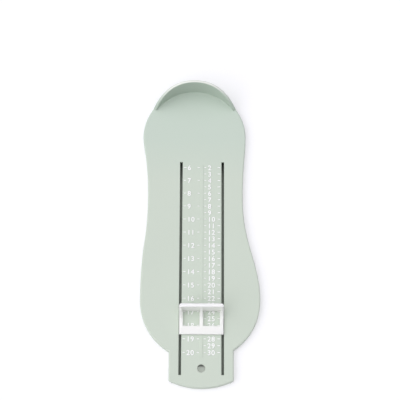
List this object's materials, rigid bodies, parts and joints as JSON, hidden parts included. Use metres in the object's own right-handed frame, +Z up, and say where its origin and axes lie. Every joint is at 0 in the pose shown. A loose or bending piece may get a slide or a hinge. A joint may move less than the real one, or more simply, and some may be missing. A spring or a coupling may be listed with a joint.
{
  "type": "foot measuring device",
  "caption": "Foot-shaped plate with a curved heel wall, long slots, a hanging hole and a sliding toe stop with reading windows.",
  "frame": {"origin": "under the middle of the plate's bounding box, on the surface that the plate lies on", "axes": "+X across the foot, +Y along the foot to the heel wall, +Z up out of the plate's top face"},
  "size_m": [0.088, 0.2283, 0.0265],
  "materials": {
    "plate_plastic": "satin, sage green",
    "slider_plastic": "satin, white"
  },
  "bodies": {
    "gauge": {"base_plate": "plate_plastic"},
    "toe_stop": {"toe_slider": "slider_plastic", "slider_keeper": "slider_plastic"}
  },
  "joints": [
    {"name": "toe_stop_slide", "type": "slide", "parent": "gauge", "child": "toe_stop", "axis": [0, 1, 0], "range_m": [-0.0331, 0.1122]}
  ]
}
